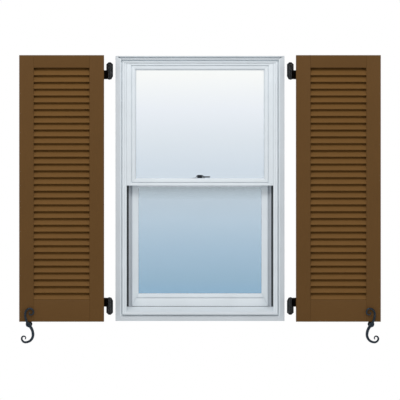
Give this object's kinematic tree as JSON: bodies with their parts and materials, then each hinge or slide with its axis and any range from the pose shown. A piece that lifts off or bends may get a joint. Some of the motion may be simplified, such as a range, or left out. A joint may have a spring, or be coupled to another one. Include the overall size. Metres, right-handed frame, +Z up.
{
  "type": "louvred shutters",
  "caption": "Fixed-louvre shutters on pintle hinges, held open by S-shaped dogs, beside a single-hung window whose lower sash lifts and locks.",
  "frame": {"origin": "middle of the window's lower edge, on the wall's outer face", "axes": "+Z up, -Y outdoors, towards the viewer, +X to the viewer's right along the wall"},
  "size_m": [1.72, 0.1513, 1.3708],
  "materials": {
    "white_vinyl": "smooth white vinyl extrusion, low sheen",
    "shutter_paint": "opaque brown exterior stain, satin",
    "black_iron": "black powder coat on forged iron",
    "lock_paint": "dark bronze paint on die-cast zinc",
    "window_glass": "clear float glass, sealed unit",
    "spacer_aluminium": "mill",
    "balance_steel": "zinc plated",
    "balance_nylon": "moulded nylon",
    "seal_pile": "grey pile",
    "seal_rubber": "dark extruded rubber"
  },
  "bodies": {
    "root": {"frame_head": "white_vinyl", "frame_sill": "white_vinyl", "frame_left_jamb": "white_vinyl", "frame_right_jamb": "white_vinyl", "upper_sash_top_rail": "white_vinyl", "upper_sash_meeting_rail": "white_vinyl", "upper_sash_left_stile": "white_vinyl", "upper_sash_right_stile": "white_vinyl", "upper_glazing_beads": "white_vinyl", "upper_outer_pane": "window_glass", "upper_inner_pane": "window_glass", "upper_pane_spacer": "spacer_aluminium", "left_balance_tube": "balance_steel", "right_balance_tube": "balance_steel", "sash_lock_keeper": "lock_paint", "track_seals": "seal_rubber", "left_upper_pintle": "black_iron", "left_lower_pintle": "black_iron", "left_pintle_screws": "black_iron", "right_upper_pintle": "black_iron", "right_lower_pintle": "black_iron", "right_pintle_screws": "black_iron", "left_dog_post": "black_iron", "left_dog_cap": "black_iron", "right_dog_post": "black_iron", "right_dog_cap": "black_iron"},
    "lower_sash": {"lower_sash_meeting_rail": "white_vinyl", "lower_sash_bottom_rail": "white_vinyl", "lower_sash_left_stile": "white_vinyl", "lower_sash_right_stile": "white_vinyl", "lower_glazing_beads": "white_vinyl", "lower_outer_pane": "window_glass", "lower_inner_pane": "window_glass", "lower_pane_spacer": "spacer_aluminium", "meeting_rail_pile": "seal_pile", "sill_bulb_seal": "seal_rubber", "left_balance_rod": "balance_steel", "left_balance_shoe": "balance_nylon", "right_balance_rod": "balance_steel", "right_balance_shoe": "balance_nylon", "sash_lock_base": "lock_paint"},
    "lock_lever": {"sash_lock_lever": "lock_paint"},
    "left_shutter": {"left_hinge_stile": "shutter_paint", "left_outer_stile": "shutter_paint", "left_top_rail": "shutter_paint", "left_bottom_rail": "shutter_paint", "left_louvres": "shutter_paint", "left_upper_leaf": "black_iron", "left_lower_leaf": "black_iron", "left_leaf_screws": "black_iron"},
    "right_shutter": {"right_hinge_stile": "shutter_paint", "right_outer_stile": "shutter_paint", "right_top_rail": "shutter_paint", "right_bottom_rail": "shutter_paint", "right_louvres": "shutter_paint", "right_upper_leaf": "black_iron", "right_lower_leaf": "black_iron", "right_leaf_screws": "black_iron"},
    "left_dog": {"left_dog_hook": "black_iron"},
    "right_dog": {"right_dog_hook": "black_iron"}
  },
  "joints": [
    {"name": "left_shutter_swing", "type": "hinge", "parent": "root", "child": "left_shutter", "pos_m": [-0.431, -0.04, 0.632], "axis": [0, 0, 1], "range_deg": [0, 180]},
    {"name": "right_shutter_swing", "type": "hinge", "parent": "root", "child": "right_shutter", "pos_m": [0.431, -0.04, 0.632], "axis": [0, 0, -1], "range_deg": [0, 180]},
    {"name": "left_dog_turn", "type": "hinge", "parent": "root", "child": "left_dog", "pos_m": [-0.816, -0.06, -0.015], "axis": [0, 1, 0], "continuous": true},
    {"name": "right_dog_turn", "type": "hinge", "parent": "root", "child": "right_dog", "pos_m": [0.816, -0.06, -0.015], "axis": [0, 1, 0], "continuous": true},
    {"name": "lower_sash_lift", "type": "slide", "parent": "root", "child": "lower_sash", "axis": [0, 0, 1], "range_m": [0, 0.5]},
    {"name": "sash_lock_turn", "type": "hinge", "parent": "lower_sash", "child": "lock_lever", "pos_m": [0, 0.04, 0.681], "axis": [0, 0, 1], "range_deg": [0, 180]}
  ]
}
